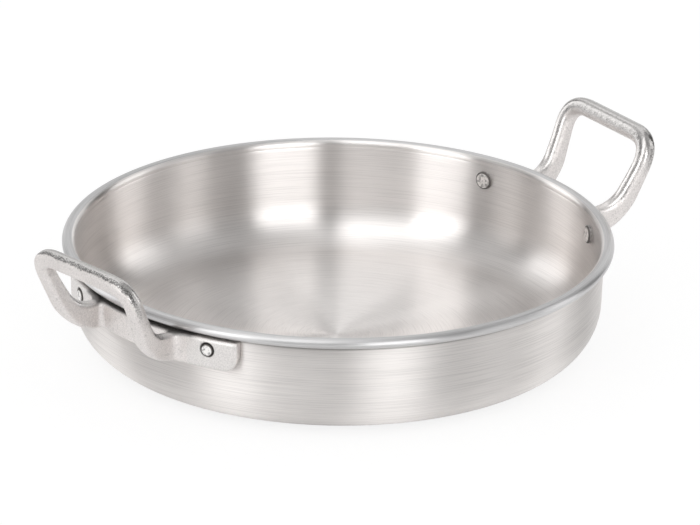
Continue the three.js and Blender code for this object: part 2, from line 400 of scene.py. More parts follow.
class TurnedLines(Effect):
    """Fine lines that a spinning tool leaves round the pan's axis.

    The direction from the axis, as a unit vector, turns the pattern slowly, and the way along the
    profile divided by the spacing runs across the lines. Each set has its output, how fast it changes
    round the axis, how fast across the lines, and its weight in the height.
    """

    name = "turned_lines"
    inputs = (("Place", "NodeSocketVector"), ("Along", "NodeSocketFloat"), ("Spacing", "NodeSocketFloat"))
    outputs = ("Fine", "Broad", "Height")
    sets = (("Fine", 3.0, 1.0, 0.6), ("Broad", 1.3, 0.2, 0.4))

    def fill(self, graph: Graph, start: bpy.types.Node, end: bpy.types.Node) -> None:
        """Two noises on the unit direction and the way along, and their weighted sum as the height.

        Args:
            graph: Tree of the group.
            start: Its inputs.
            end: Its outputs.
        """
        level = graph.vector("MULTIPLY", start.outputs["Place"], (1.0, 1.0, 0.0)).outputs[0]
        unit = graph.vector("NORMALIZE", level).outputs[0]
        across = graph.math("DIVIDE", start.outputs["Along"], start.outputs["Spacing"])
        parts = []
        for name, turn, rate, weight in self.sets:
            slow = graph.vector("SCALE", unit)
            slow.inputs["Scale"].default_value = turn
            height = graph.node("ShaderNodeCombineXYZ", {"Z": graph.math("MULTIPLY", across, rate)})
            total = graph.vector("ADD", slow.outputs[0], height.outputs[0])
            feeds = {"Vector": total.outputs[0], "Scale": 1.0, "Detail": 3.0, "Roughness": 0.6}
            value = graph.node("ShaderNodeTexNoise", feeds).outputs["Fac"]
            graph.feed(end.inputs[name], value)
            parts.append(graph.math("MULTIPLY", value, weight))
        graph.feed(end.inputs["Height"], graph.math("ADD", *parts))


class CastGrain(Effect):
    """The skin of sand-cast metal: sharp grain, soft lumps and scattered pits.

    Each layer has its output, its size as a multiple of the grain, and its detail.
    """

    name = "cast_grain"
    inputs = (("Place", "NodeSocketVector"), ("Size", "NodeSocketFloat"))
    outputs = ("Grain", "Lumps", "Pits")
    layers = (("Grain", 1.0, 2.0), ("Lumps", 5.0, 2.0), ("Pits", 3.0, 1.0))
    pit_edge = (0.36, 0.30)

    def fill(self, graph: Graph, start: bpy.types.Node, end: bpy.types.Node) -> None:
        """Noises at one, five and three times the grain size, the last cut to its lowest spots.

        Args:
            graph: Tree of the group.
            start: Its inputs.
            end: Its outputs.
        """
        for output, factor, detail in self.layers:
            size = graph.math("MULTIPLY", start.outputs["Size"], factor * MM)
            feeds = {"Vector": start.outputs["Place"], "Scale": graph.math("DIVIDE", 1.0, size),
                     "Detail": detail, "Roughness": 0.55}
            value = graph.node("ShaderNodeTexNoise", feeds).outputs["Fac"]
            if output == "Pits":
                value = graph.ease(value, *self.pit_edge)
            graph.feed(end.inputs[output], value)


class Dulling(Effect):
    """Uneven dull patches where handling and air have taken the shine off."""

    name = "dulling"
    inputs = (("Place", "NodeSocketVector"), ("Amount", "NodeSocketFloat"))
    outputs = ("Mask",)
    cloud_size = 40.0
    cloud_edge = (0.42, 0.68)
    spot_size = 6.0

    def fill(self, graph: Graph, start: bpy.types.Node, end: bpy.types.Node) -> None:
        """Soft clouds broken up by spots, times the amount.

        Args:
            graph: Tree of the group.
            start: Its inputs.
            end: Its outputs.
        """
        place = start.outputs["Place"]
        clouds = graph.ease(graph.noise(place, self.cloud_size, 3.0), *self.cloud_edge)
        spots = graph.noise(place, self.spot_size, 4.0, 0.6)
        graph.feed(end.inputs["Mask"], graph.product(clouds, spots, start.outputs["Amount"]))


class Metal:
    """Start of every aluminium finish: a Principled shader on a fresh material."""

    across_lines = 0.25

    @classmethod
    def start(cls, name: str, anisotropy: float = 0.0) -> tuple[bpy.types.Material, Graph, bpy.types.Node]:
        """Makes the material, with reflections stretched across the tool's lines by a quarter turn.

        Args:
            name: Name of the finish.
            anisotropy: How far reflections stretch.

        Returns:
            The material, its graph and its Principled shader.
        """
        material = bpy.data.materials.new(name)
        material.use_nodes = True
        graph = Graph(material.node_tree)
        shader = material.node_tree.nodes["Principled BSDF"]
        shader.inputs["Metallic"].default_value = 1.0
        if anisotropy > 0.0:
            shader.inputs["Anisotropic"].default_value = anisotropy
            shader.inputs["Anisotropic Rotation"].default_value = cls.across_lines
            tangent = graph.node("ShaderNodeTangent", direction_type="UV_MAP", uv_map="wrap")
            graph.feed(shader.inputs["Tangent"], tangent.outputs[0])
        return material, graph, shader


@dataclass(frozen=True)
class SpunFinish:
    """Aluminium turned on a lathe, with rings round the pan's axis and painted shade behind the handles and
    under the bead.
    """

    name: str
    pale: Colour
    dark: Colour
    roughness: Span
    anisotropy: float
    spacing: float
    relief: float
    dulling: float
    painted_shade: float = 0.0
    shade_colour: Colour = (0.10, 0.095, 0.092)
    line_edge: Span = (0.36, 0.56)
    dull_roughness: float = 0.2

    def material(self) -> bpy.types.Material:
        """Rings tint the colour, roughen the surface and stand up as relief; dull patches flatten it.

        Returns:
            The finish as a material.
        """
        material, graph, shader = Metal.start(self.name, self.anisotropy)
        place = graph.place()
        feeds = {"Place": place, "Along": graph.attribute("along"), "Spacing": self.spacing * MM}
        lines = TurnedLines().use(graph, feeds)
        dull = Dulling().use(graph, {"Place": place, "Amount": self.dulling}).outputs["Mask"]
        tint = graph.mix(graph.ease(lines.outputs["Fine"], *self.line_edge), self.dark, self.pale)
        # Painted shade: the shade colour is mixed in on the wall behind the handles and in a line under the
        # bead.
        if self.painted_shade > 0.0:
            shade_share = graph.math("MULTIPLY", graph.attribute("recess_shade"), self.painted_shade)
            tint = graph.mix(shade_share, tint, self.shade_colour)
        graph.feed(shader.inputs["Base Color"], tint)
        rough = graph.scale(lines.outputs["Broad"], *self.roughness)
        rough = graph.math("ADD", rough, graph.math("MULTIPLY", dull, self.dull_roughness))
        graph.feed(shader.inputs["Roughness"], rough)
        graph.bump(shader, self.relief, lines.outputs["Height"])
        return material


@dataclass(frozen=True)
class CastFinish:
    """Sand-cast aluminium: matt, with a rubbed grip that carries a painted dark reflection along its top
    edge, a polished ridge on the arms, linished pads and painted shade round the rivets and beside the arms.

    Edges that are heights on the bar run from -1 at its lower face to 1 at its top.
    """

    name: str
    matt: Colour
    bright: Colour
    linished: Colour
    grain: float
    patchiness: float = 0.6
    rubbed_edge: Span = (-0.75, -0.5)
    strip_low: Span = (-0.80, -0.62)
    strip_high: Span = (0.05, -0.20)
    strip_grain: Span = (0.64, 0.42)
    strip_shade: float = 0.58
    ridge_edge: Span = (0.58, 0.86)
    ridge_polish: float = 0.85
    grain_shade: Span = (0.66, 1.26)
    pit_shade: float = 0.88
    pit_on_pad: float = 0.15
    dull_shade: float = 0.12
    sink_shade: float = 0.16
    roughness: Span = (0.55, 0.22)
    stroke_size: float = 0.5
    stroke_stretch: Triple = (0.06, 0.06, 1.0)
    stroke_roughness: Span = (0.36, 0.50)
    stroke_relief: float = 0.25
    grain_relief: float = 0.45
    pit_relief: float = 0.3
    relief: float = 0.14

    def material(self) -> bpy.types.Material:
        """Mixes the finishes by how high a point lies on the bar and by the masks of the mesh.

        Returns:
            The finish as a material.
        """
        material, graph, shader = Metal.start(self.name)
        place = graph.place()
        skin = CastGrain().use(graph, {"Place": place, "Size": self.grain})
        dull = Dulling().use(graph, {"Place": place, "Amount": 1.0}).outputs["Mask"]
        pad = graph.attribute("pad")
        pits = graph.product(skin.outputs["Pits"], graph.scale(pad, 1.0, self.pit_on_pad))
        crown, dark_reflection, ridge = self.wear_and_reflection(graph, skin)
        tint = graph.mix(crown, self.matt, self.bright)
        tint = graph.mix(graph.math("MAXIMUM", pad, ridge), tint, self.linished)
        shade = graph.product(graph.scale(skin.outputs["Grain"], *self.grain_shade),
                              graph.scale(pits, 1.0, self.pit_shade))
        # Dull patches are real dulling; the strip is a painted dark reflection on the grip's top edge.
        for mask, amount in ((dull, self.dull_shade), (dark_reflection, self.strip_shade)):
            shade = graph.math("SUBTRACT", shade, graph.math("MULTIPLY", mask, amount))
        # Painted shade round the rivets and in the hollow beside each arm.
        shade = graph.product(shade, graph.scale(graph.attribute("handle_shade"), 1.0, self.sink_shade))
        grey = graph.node("ShaderNodeCombineColor", {"Red": shade, "Green": shade, "Blue": shade}).outputs[0]
        graph.feed(shader.inputs["Base Color"], graph.mix(1.0, tint, grey, "MULTIPLY"))
        streaks = graph.node("ShaderNodeMapping", {"Vector": place, "Scale": self.stroke_stretch})
        strokes = graph.noise(streaks.outputs[0], self.stroke_size, 3.0, 0.6)
        polish = graph.math("MAXIMUM", crown, graph.math("MULTIPLY", ridge, self.ridge_polish))
        rough = graph.mix_number(pad, graph.scale(polish, *self.roughness),
                                 graph.scale(strokes, *self.stroke_roughness))
        graph.feed(shader.inputs["Roughness"], rough)
        sand = graph.math("MULTIPLY", skin.outputs["Grain"], self.grain_relief)
        sand = graph.math("ADD", sand, skin.outputs["Lumps"])
        sand = graph.math("SUBTRACT", sand, graph.math("MULTIPLY", pits, self.pit_relief))
        scored = graph.math("MULTIPLY", strokes, self.stroke_relief)
        graph.bump(shader, self.relief, graph.mix_number(pad, sand, scored))
        return material

    def wear_and_reflection(self, graph: Graph, skin: bpy.types.Node) -> tuple[Feed, Feed, Feed]:
        """Masks of the worn places and of a painted dark reflection, each an edge in the height on the bar,
        broken up by the lumps.

        Args:
            graph: Tree of the material.
            skin: The cast grain in it.

        Returns:
            The rubbed grip, the painted dark reflection strip on its top edge and the polished ridge of the
            arms.
        """
        lumps = graph.math("SUBTRACT", skin.outputs["Lumps"], 0.5)
        height = graph.math("ADD", graph.attribute("crown"), graph.math("MULTIPLY", lumps, self.patchiness))
        worn = graph.attribute("worn")
        crown = graph.product(graph.ease(height, *self.rubbed_edge), worn)
        dark_reflection = graph.product(graph.ease(height, *self.strip_low), graph.ease(height, *self.strip_high),
                              graph.ease(skin.outputs["Grain"], *self.strip_grain), worn)
        ridge = graph.product(graph.ease(height, *self.ridge_edge), graph.attribute("ridge"))
        return crown, dark_reflection, ridge


@dataclass(frozen=True)
class RivetFinish:
    """Soft aluminium wire upset with a hammer, with painted shade at its rim where it meets the sheet."""

    name: str
    pale: Colour
    marked: Colour
    dark: Colour
    grain: float = 0.35
    mark_edge: Span = (0.44, 0.64)
    dull_share: float = 0.2
    roughness: Span = (0.30, 0.62)
    relief: float = 0.3

    def material(self) -> bpy.types.Material:
        """Hammer grain dents and marks the surface; the edge mask of the mesh paints shade at the rim and
        roughens it, and dull patches add real soiling.

        Returns:
            The finish as a material.
        """
        material, graph, shader = Metal.start(self.name)
        place = graph.place()
        dents = CastGrain().use(graph, {"Place": place, "Size": self.grain}).outputs["Lumps"]
        dull = Dulling().use(graph, {"Place": place, "Amount": 1.0}).outputs["Mask"]
        soiled = graph.math("MULTIPLY", dull, self.dull_share)
        # Painted shade: the edge mask darkens the rims and hidden sides; the dull patches add real soiling.
        edge = graph.math("ADD", graph.attribute("edge"), soiled, clamp=True)
        tint = graph.mix(graph.ease(dents, *self.mark_edge), self.pale, self.marked)
        graph.feed(shader.inputs["Base Color"], graph.mix(edge, tint, self.dark))
        graph.feed(shader.inputs["Roughness"], graph.scale(edge, *self.roughness))
        graph.bump(shader, self.relief, dents)
        return material


@dataclass(frozen=True)
class PanForm:
    """The pan's outline, shared by the body and by what is fixed to it."""

    rim_diameter: float = 320.0
    height: float = 64.2
    wall: float = 2.0
    floor: float = 3.0
    taper: float = math.radians(2.2)
    corner: float = 28.0
    bead_width: float = 7.5
    bead_height: float = 6.1
    bead_slit: float = 0.8

    @property
    def bead_z(self) -> float:
        """Height of the middle of the rolled bead."""
        return self.height - self.bead_height / 2

    def wall_radius(self, z: Values) -> Values:
        """Outside radius of the wall, a straight line of the taper that ends inside the bead."""
        at_bead = self.rim_diameter / 2 - self.bead_width + self.wall / math.cos(self.taper)
        return at_bead + (z - self.bead_z) * math.tan(self.taper)

    def inside_radius(self, z: Values) -> Values:
        """Inside radius of the wall, its thickness measured level."""
        return self.wall_radius(z) - self.wall / math.cos(self.taper)


@dataclass
class SpunPan:
    """The spun body with its rolled rim.

    Each handle in shaded has its angle about the pan's axis and how far it reaches to either side. A
    fade or drop of two numbers says where a mask begins and where it is full.
    """

    form: PanForm
    shaded: tuple[Span, ...]
    columns: int = 288
    groove_depth: float = 0.14
    groove_height: float = 0.9
    groove_drop: float = 4.0
    rim_turn: float = 118.0
    shade_fade: Span = (0.09, 0.02)
    shade_drop: Span = (20.0, 14.0)
    shadow_line_drop: Span = (8.6, 7.4)
    shadow_line_share: float = 0.7

    def groove(self) -> Array:
        """Fine groove of the wall's inside under the bead: a flat-bottomed dip of six points.

        Returns:
            The points as radius and height, from the top down.
        """
        top = self.form.height - self.groove_drop
        heights = top - self.groove_height * np.array([-0.05, 0.1, 0.35, 0.65, 0.9, 1.05])
        depths = self.groove_depth * np.array([0.0, 0.15, 1.0, 1.0, 0.15, 0.0])
        return np.stack([self.form.inside_radius(heights) + depths, heights], -1)

    def profile(self) -> tuple[Array, Whole]:
        """Section of the wall from the middle of the base round the rim to the middle of the floor.

        Lines and arcs: flat base, corner, tapered wall, the hollow of the bead, the bead's ellipse from
        its free edge over the top to the wall, a fine groove, the wall's inside, corner and floor.

        Returns:
            The points as radius and height, and the zone of the span after each point.
        """
        form = self.form
        cosine = math.cos(form.taper)
        outer = form.wall_radius(form.corner) - form.corner / cosine
        inner_radius = form.corner - form.floor
        inner = form.wall_radius(form.corner) - form.wall / cosine - inner_radius / cosine
        bead = (form.rim_diameter / 2 - form.bead_width / 2, form.bead_z)
        roll = (form.bead_width / 2, form.bead_height / 2)
        hollow = (roll[0] - form.wall, roll[1] - form.wall)
        edge = -math.acos((form.wall_radius(form.bead_z) + form.bead_slit - bead[0]) / roll[0])
        split = math.radians(self.rim_turn)
        corner_out = arc((outer, form.corner), (form.corner, form.corner), -QUARTER, -form.taper, count=26)
        hollow_arc = arc(bead, hollow, math.pi, edge, count=14)
        bead_arc = arc(bead, roll, edge, split, count=34)
        bead_in = arc(bead, roll, split, math.pi, count=12)[1:]
        corner_in = arc((inner, form.corner), (inner_radius, inner_radius), -form.taper, -QUARTER, count=28)
        groove = self.groove()
        runs = [
            (Zone.BASE, np.array([[0.0, 0.0]])),
            (Zone.BASE, line((0.0, 0.0), tuple(corner_out[0]), count=16)),
            (Zone.OUTSIDE, corner_out),
            (Zone.OUTSIDE, line(tuple(corner_out[-1]), tuple(hollow_arc[0]), count=44)),
            (Zone.OUTSIDE, hollow_arc),
            (Zone.RIM, bead_arc),
            (Zone.INSIDE, bead_in),
            (Zone.INSIDE, groove),
            (Zone.INSIDE, line(tuple(groove[-1]), tuple(corner_in[0]), count=20)),
            (Zone.INSIDE, corner_in),
            (Zone.INSIDE, line(tuple(corner_in[-1]), (0.0, form.floor), count=22)),
            (Zone.INSIDE, np.array([[0.0, form.floor]])),
        ]
        zones = np.concatenate([np.full(len(points), zone.value) for zone, points in runs])
        return np.concatenate([points for _, points in runs]), zones

    def build(self, finishes: dict[Zone, bpy.types.Material]) -> bpy.types.Object:
        """Turns the profile about Z: radius times cosine and sine of the angle, height kept.

        Args:
            finishes: The material of each zone.

        Returns:
            The dressed body.
        """
        profile, zones = self.profile()
        rings = len(profile) - 2
        angle = np.linspace(0.0, FULL_TURN, self.columns, endpoint=False)
        radius, height = profile[1:-1, :1], profile[1:-1, 1:]
        grid = np.stack([radius * np.cos(angle), radius * np.sin(angle),
                         np.broadcast_to(height, (rings, self.columns))], -1)
        poles = np.array([[0.0, 0.0, profile[0, 1]], [0.0, 0.0, profile[-1, 1]]])
        points = np.concatenate([grid.reshape(-1, 3), poles])
        mesh = make_mesh("pan_shell", points, turned_faces(rings, self.columns))
        along = np.concatenate([[0.0], np.cumsum(np.hypot(*np.diff(profile, axis=0).T))])
        self.dress(mesh, along, zones, rings)
        set_values(mesh, "recess_shade", self.recess_shade(points))
        for zone in Zone:
            mesh.materials.append(finishes[zone])
        shell = put_in_scene("pan_shell", mesh)
        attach(shell, "root")
        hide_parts("pan_body")
        return shell

    def recess_shade(self, points: Array) -> Array:
        """Mask of painted shade on the wall behind each handle, and of a thin painted shadow line all round
        under the bead.

        A handle's part falls with the angle from its middle and rises with height; the larger of the
        handles' parts and the shadow line counts.

        Args:
            points: Points of the body.

        Returns:
            A share from 0 to 1 for each point.
        """
        angle = np.arctan2(points[:, 1], points[:, 0])
        mask = np.zeros(len(points))
        for middle, reach in self.shaded:
            off = np.abs((angle - middle + math.pi) % FULL_TURN - math.pi)
            mask = np.maximum(mask, 1.0 - smooth_step(off, *(reach - fade for fade in self.shade_fade)))
        upper, shadow_line = (smooth_step(points[:, 2], *(self.form.height - end for end in drop))
                       for drop in (self.shade_drop, self.shadow_line_drop))
        return np.maximum(mask * upper, self.shadow_line_share * shadow_line)

    def dress(self, mesh: bpy.types.Mesh, along: Array, zones: Whole, rings: int) -> None:
        """Gives the body its wrap map, its way along the profile and the zone of each face.

        Args:
            mesh: The turned mesh, quads first and then the two fans.
            along: Way along the profile to each point, in millimetres.
            zones: Zone of the span after each point.
            rings: Number of rings between the poles.
        """
        columns = self.columns
        values = np.concatenate([np.repeat(along[1:-1], columns), along[[0, -1]]])
        set_values(mesh, "along", values * MM)
        share = along / along[-1]
        first = np.arange(columns) / columns
        second = first + 1.0 / columns
        middle = (first + second) / 2
        u = np.stack([first, second, second, first], -1)
        low, high = share[1:-2, None, None], share[2:-1, None, None]
        v = np.concatenate([low, low, high, high], -1)
        shape = (rings - 1, columns, 4)
        quads = np.stack([np.broadcast_to(u, shape), np.broadcast_to(v, shape)], -1)
        below = np.stack([np.stack([middle, second, first], -1),
                          np.tile([share[0], share[1], share[1]], (columns, 1))], -1)
        above = np.stack([np.stack([first, second, middle], -1),
                          np.tile([share[-2], share[-2], share[-1]], (columns, 1))], -1)
        wrap = np.concatenate([part.reshape(-1, 2) for part in (quads, below, above)])
        mesh.uv_layers.new(name="wrap").data.foreach_set("uv", wrap.astype(np.float32).ravel())
        faces = np.concatenate([np.repeat(zones[1:-2], columns), np.full(columns, zones[0]),
                                np.full(columns, zones[-1])])
        mesh.polygons.foreach_set("material_index", faces.astype(np.int32))


@dataclass
class CastHandle:
    """One cast loop handle, which lies round the wall at its foot and rises outward.

    The marks of wear and of painted shade are spans in which a mask rises: along the bar from where its arm
    begins to turn out, across it, up it, or out from the wall.
    """

    form: PanForm
    side: Side
    spread: float = math.radians(173.1)
    pad_drop: float = 7.0
    pad_height: float = 18.5
    pad_thickness: float = 6.0
    pad_margin: float = 18.4
    pad_corner: float = 9.0
    pad_edge: float = 1.6
    bridge_step: float = 1.0
    bridge_stations: int = 60
    root_width: float = 62.5
    root_length: float = 2.5
    root_radius: float = 8.5
    root_rise: float = 8.6
    sweep_radius: float = 24.0
    grip_slope: float = math.radians(67.0)
    grip_length: float = 34.3
    grip_width: float = 80.5
    grip_radius: float = 15.5
    rod_width: float = 10.5
    rod_depth: float = 9.2
    rod_top: float = 4.5
    rod_edge: float = 2.4
    flare_lead: float = 2.0
    flare_length: float = 57.0
    rivet_spacing: float = 105.0
    rivet_drop: float = 13.6
    sink_depth: float = 1.5
    sink_edge: Span = (3.75, 4.45)
    sink_out: Span = (3.0, 5.0)
    fit: float = 0.3
    fillet: float = 2.2
    grain: float = 0.6
    stations: int = 260
    bend_points: int = 40
    grip_along: Span = (46.0, 66.0)
    grip_across: Span = (0.5, 3.0)
    arm_start: Span = (8.0, 22.0)
    arm_end: Span = (54.0, 68.0)
    pad_end_along: Span = (-3.0, -1.0)
    pad_face: Span = (-0.9, -0.2)
    ring_shade_edge: Span = (4.2, 5.0)
    ring_shade_out: Span = (2.0, 3.5)
    hollow_up: Span = (0.80, 0.96)
    hollow_out: Span = (7.0, 10.0)
    hollow_along: Span = (-9.0, -3.0)
    hollow_shade_share: float = 0.75

    @property
    def turn(self) -> float:
        """Angle of the handle about the pan's axis."""
        swing = (math.pi - self.spread) / 2
        return -swing if self.side is Side.RIGHT else math.pi + swing

    @property
    def pad_z(self) -> float:
        """Height of the middle of the pads."""
        return self.form.height - self.pad_drop - self.pad_height / 2

    @property
    def pad_radius(self) -> float:
        """Radius of the middle of the pads' thickness."""
        half = self.fit + self.pad_thickness / 2
        return self.form.wall_radius(self.pad_z) + half / math.cos(self.form.taper)

    @property
    def rivet_z(self) -> float:
        """Height of the rivets."""
        return self.form.height - self.rivet_drop

    @property
    def rivet_angle(self) -> float:
        """Half the angle between the handle's rivets."""
        return math.asin(self.rivet_spacing / 2 / self.form.wall_radius(self.rivet_z))

    @property
    def pad_end(self) -> float:
        """Way along the wall from the handle's middle to a pad's end."""
        return self.pad_radius * self.rivet_angle + self.pad_margin

    @property
    def bend_at(self) -> float:
        """Way from a pad's end to where its arm begins to turn out."""
        return self.pad_end - self.root_width / 2 - self.root_radius

    def side_view(self, run: Array) -> tuple[Array, Array, Array]:
        """Slope, reach and height of the strap: straight from the wall, a circular sweep, straight again.

        Args:
            run: Way along the side view from the wall.

        Returns:
            Slope in radians, reach from the pan's axis and height, for each way.
        """
        start = -self.form.taper
        sweep = self.grip_slope - start
        straight = np.minimum(run, self.root_length)
        slope = start + np.clip((run - self.root_length) / self.sweep_radius, 0.0, sweep)
        last = np.maximum(run - self.root_length - self.sweep_radius * sweep, 0.0)
        reach = (self.pad_radius + straight * math.cos(start) + last * math.cos(self.grip_slope)
                 + self.sweep_radius * (np.sin(slope) - math.sin(start)))
        height = (self.pad_z + straight * math.sin(start) + last * math.sin(self.grip_slope)
                  + self.sweep_radius * (math.cos(start) - np.cos(slope)))
        return slope, reach, height

    def flat_path(self) -> Array:
        """Centre line laid flat: straight runs joined by quadratic curves, evenly spaced by length.

        Returns:
            Way across, way out from the wall and way along the line, for each station.
        """
        grip = self.root_length + self.sweep_radius * (self.grip_slope + self.form.taper) + self.grip_length
        half = np.array([[self.pad_end, 0.0], [self.root_width / 2, 0.0], [self.grip_width / 2, grip]])
        corners = np.concatenate([half, (half * [-1.0, 1.0])[::-1]])
        radii = (self.root_radius, self.grip_radius, self.grip_radius, self.root_radius)
        share = np.linspace(0.0, 1.0, self.bend_points)[:, None]
        runs = [corners[:1]]
        for before, corner, after, radius in zip(corners, corners[1:], corners[2:], radii):
            arrive = (before - corner) / np.hypot(*(before - corner))
            leave = (after - corner) / np.hypot(*(after - corner))
            cut = radius / math.tan(math.acos(arrive @ leave) / 2)
            first, second = corner + cut * arrive, corner + cut * leave
            runs.append((1 - share) ** 2 * first + 2 * share * (1 - share) * corner + share ** 2 * second)
        path = np.concatenate([*runs, corners[-1:]])
        way = np.concatenate([[0.0], np.cumsum(np.hypot(*np.diff(path, axis=0).T))])
        even = np.linspace(0.0, way[-1], self.stations)
        return np.stack([np.interp(even, way, path[:, 0]), np.interp(even, way, path[:, 1]), even], -1)

    def strap(self) -> tuple[Array, Array, Array, Array]:
        """Centre line in space with its frame.

        The flat line is laid on the side view; near the wall its sideways way bends round the pan.

        Returns:
            Centres, directions to the loop's inside, directions to its top, and the way along the line.
        """
        flat = self.flat_path()
        slope, reach, height = self.side_view(flat[:, 1])
        radius = self.pad_radius
        wrapped = 1.0 - smooth_step(flat[:, 1], 0.0, self.root_length + self.sweep_radius / 2)
        angle = flat[:, 0] / radius
        across = blend(flat[:, 0], radius * np.sin(angle), wrapped)
        centres = np.stack([reach - wrapped * radius * (1 - np.cos(angle)), across, height], -1)
        along = np.gradient(centres, axis=0)
        along /= np.linalg.norm(along, axis=1, keepdims=True)
        up = np.stack([-np.sin(slope), np.zeros_like(slope), np.cos(slope)], -1)
        up -= along * np.sum(up * along, axis=1, keepdims=True)
        up /= np.linalg.norm(up, axis=1, keepdims=True)
        return centres, np.cross(along, up), up, flat[:, 2]

    def rod_share(self, end_way: Array) -> Array:
        """Share of rod in the section, from 0 on the pads to 1 on the arms and the grip."""
        last = self.bend_at + 2 * self.root_radius + self.sweep_radius / 2
        return smooth_step(end_way, self.bend_at - self.flare_lead, last)

    def top_edge(self, end_way: Array) -> Array:
        """Height of the bar's top over its middle: the pad's, a dip beside the arm, then down to the rod's.

        Args:
            end_way: Way along the bar from its nearer end.

        Returns:
            The height for each way.
        """
        root = self.bend_at + 1.5 * self.root_radius
        dip = smooth_step(end_way, self.bend_at - self.flare_lead, root)
        slim = smooth_step(end_way, root, self.bend_at + self.flare_length)
        return blend(blend(self.pad_height / 2, self.root_rise, dip), self.rod_depth / 2, slim)

    @staticmethod
    def outline(inside: Array, outside: Array, top: Array, bottom: Array, top_radius: Array,
                low_radius: Array) -> Array:
        """Rounded oblong section of each station: four corner arcs in turn.

        Args:
            inside: Reach towards the loop's inside.
            outside: Reach away from it.
            top: Reach upward.
            bottom: Height of the lower face, negative.
            top_radius: Radius of the two upper corners.
            low_radius: Radius of the two lower corners.

        Returns:
            Points of each section, stations first.
        """
        turn = np.linspace(0.0, QUARTER, CORNER_POINTS)[None, :]
        corners = (
            (inside - top_radius, top - top_radius, top_radius, 0.0),
            (top_radius - outside, top - top_radius, top_radius, QUARTER),
            (low_radius - outside, bottom + low_radius, low_radius, 2 * QUARTER),
            (inside - low_radius, bottom + low_radius, low_radius, 3 * QUARTER),
        )
        x = [a[:, None] + r[:, None] * np.cos(turn + at) for a, _, r, at in corners]
        y = [b[:, None] + r[:, None] * np.sin(turn + at) for _, b, r, at in corners]
        return np.stack([np.concatenate(x, 1), np.concatenate(y, 1)], -1)

    @staticmethod
    def corner_cut(radius: float, end_way: Array) -> Array:
        """How far a round corner stands back: the radius less the circle's height at the way from the end."""
        return radius - np.sqrt(radius ** 2 - np.maximum(radius - end_way, 0.0) ** 2)

    @staticmethod
    def skin(rings: Array, first: int) -> list[Whole]:
        """Faces of a closed skin over rings of points, each end closed by one face.

        Args:
            rings: Points of each ring.
            first: Number of the first point.

        Returns:
            The quads and the two end faces.
        """
        count, size = rings.shape[:2]
        number = np.arange(count * size).reshape(count, size) + first
        after = np.roll(number, -1, axis=1)
        quads = np.stack([number[:-1], number[1:], after[1:], after[:-1]], -1).reshape(-1, 4)
        return [quads, number[:1], number[-1:, ::-1]]

    def loop_rings(self) -> Array:
        """Sections of the loop carried along its centre line, pads with round lower corners.

        Returns:
            Points of each section, stations first.
        """
        centres, inside, up, way = self.strap()
        end_way = np.minimum(way, way[-1] - way)
        rod = self.rod_share(end_way)
        half = blend(self.pad_thickness, self.rod_width, rod) / 2
        low = blend(self.pad_height, self.rod_depth, rod) / 2
        section = self.outline(
            half, half - self.corner_cut(self.pad_edge, end_way),
            self.top_edge(end_way), self.corner_cut(self.pad_corner, end_way) - low,
            blend(self.pad_edge, self.rod_top, rod), blend(self.pad_edge, self.rod_edge, rod))
        return centres[:, None] + section[..., :1] * inside[:, None] + section[..., 1:] * up[:, None]

    def bridge_rings(self) -> Array:
        """Sections of the plate along the wall between the arms, turned about the pan's axis.

        Returns:
            Points of each section, stations first.
        """
        length = self.root_width + self.root_radius / 2
        taper = self.form.taper
        half = np.array([self.pad_thickness / 2])
        high = np.array([self.pad_height / 2 - self.bridge_step])
        edge = np.array([self.pad_edge])
        section = self.outline(half, half - self.bridge_step, high, -high, edge, edge)[0]
        reach = self.pad_radius - section[:, 0] * math.cos(taper) + section[:, 1] * math.sin(taper)
        height = self.pad_z + section[:, 0] * math.sin(taper) + section[:, 1] * math.cos(taper)
        angle = np.linspace(0.5, -0.5, self.bridge_stations)[:, None] * length / self.pad_radius
        level = np.broadcast_to(height, (self.bridge_stations, len(height)))
        return np.stack([reach * np.cos(angle), reach * np.sin(angle), level], -1)

    def fitted(self, points: Array) -> Array:
        """Points pushed out to the wall's face where they reach into it, and sunk round the rivets.

        Args:
            points: Points of the handle before it is turned to its side.

        Returns:
            The fitted points.
        """
        radius = np.hypot(points[:, 0], points[:, 1])
        least = self.form.wall_radius(points[:, 2]) + self.fit
        grow = np.where(points[:, 2] < self.form.height, np.maximum(least / radius, 1.0), 1.0)
        points = points * np.stack([grow, grow, np.ones_like(grow)], -1)
        for sign in (-1.0, 1.0):
            local = turn_z(points, -sign * self.rivet_angle)
            off = np.hypot(local[:, 1], local[:, 2] - self.rivet_z)
            out = local[:, 0] - self.form.wall_radius(self.rivet_z)
            sunk = (1.0 - smooth_step(off, *self.sink_edge)) * smooth_step(out, *self.sink_out)
            local[:, 0] -= self.sink_depth * sunk * (local[:, 0] > 0)
            points = turn_z(local, sign * self.rivet_angle)
        return points

    def build(self, finish: bpy.types.Material) -> bpy.types.Object:
        """Joins loop and bridge into one casting, rounds its inner corners and dresses it.

        The bodies are swelled by the fillet, skinned, shrunk by it and skinned again, which leaves a
        round of about that radius in every hollow corner.

        Args:
            finish: The cast material.

        Returns:
            The dressed handle.
        """
        loop, bridge = self.loop_rings(), self.bridge_rings()
        points = np.concatenate([loop.reshape(-1, 3), bridge.reshape(-1, 3)])
        faces = self.skin(loop, 0) + self.skin(bridge, loop.shape[0] * loop.shape[1])
        name = f"cast_handle_{self.side.value}"
        mesh = make_mesh(name, points, faces)
        swell(mesh, self.fillet)
        mesh = recast(mesh, self.grain, smoothing=2)
        swell(mesh, -self.fillet)
        mesh = recast(mesh, self.grain, smoothing=3)
        mesh.name = name
        local = self.fitted(points_of(mesh))
        self.dress(mesh, local)
        set_points(mesh, turn_z(local, self.turn))
        mesh.materials.clear()
        mesh.materials.append(finish)
        handle = put_in_scene(name, mesh)
        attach(handle, "root")
        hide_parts(f"handle_{self.side.value}")
        return handle

    def past_bend(self, end_way: Array, span: Span) -> Array:
        """Mask that rises along the bar in a span counted from where the arm begins to turn out."""
        return smooth_step(end_way, *(self.bend_at + end for end in span))

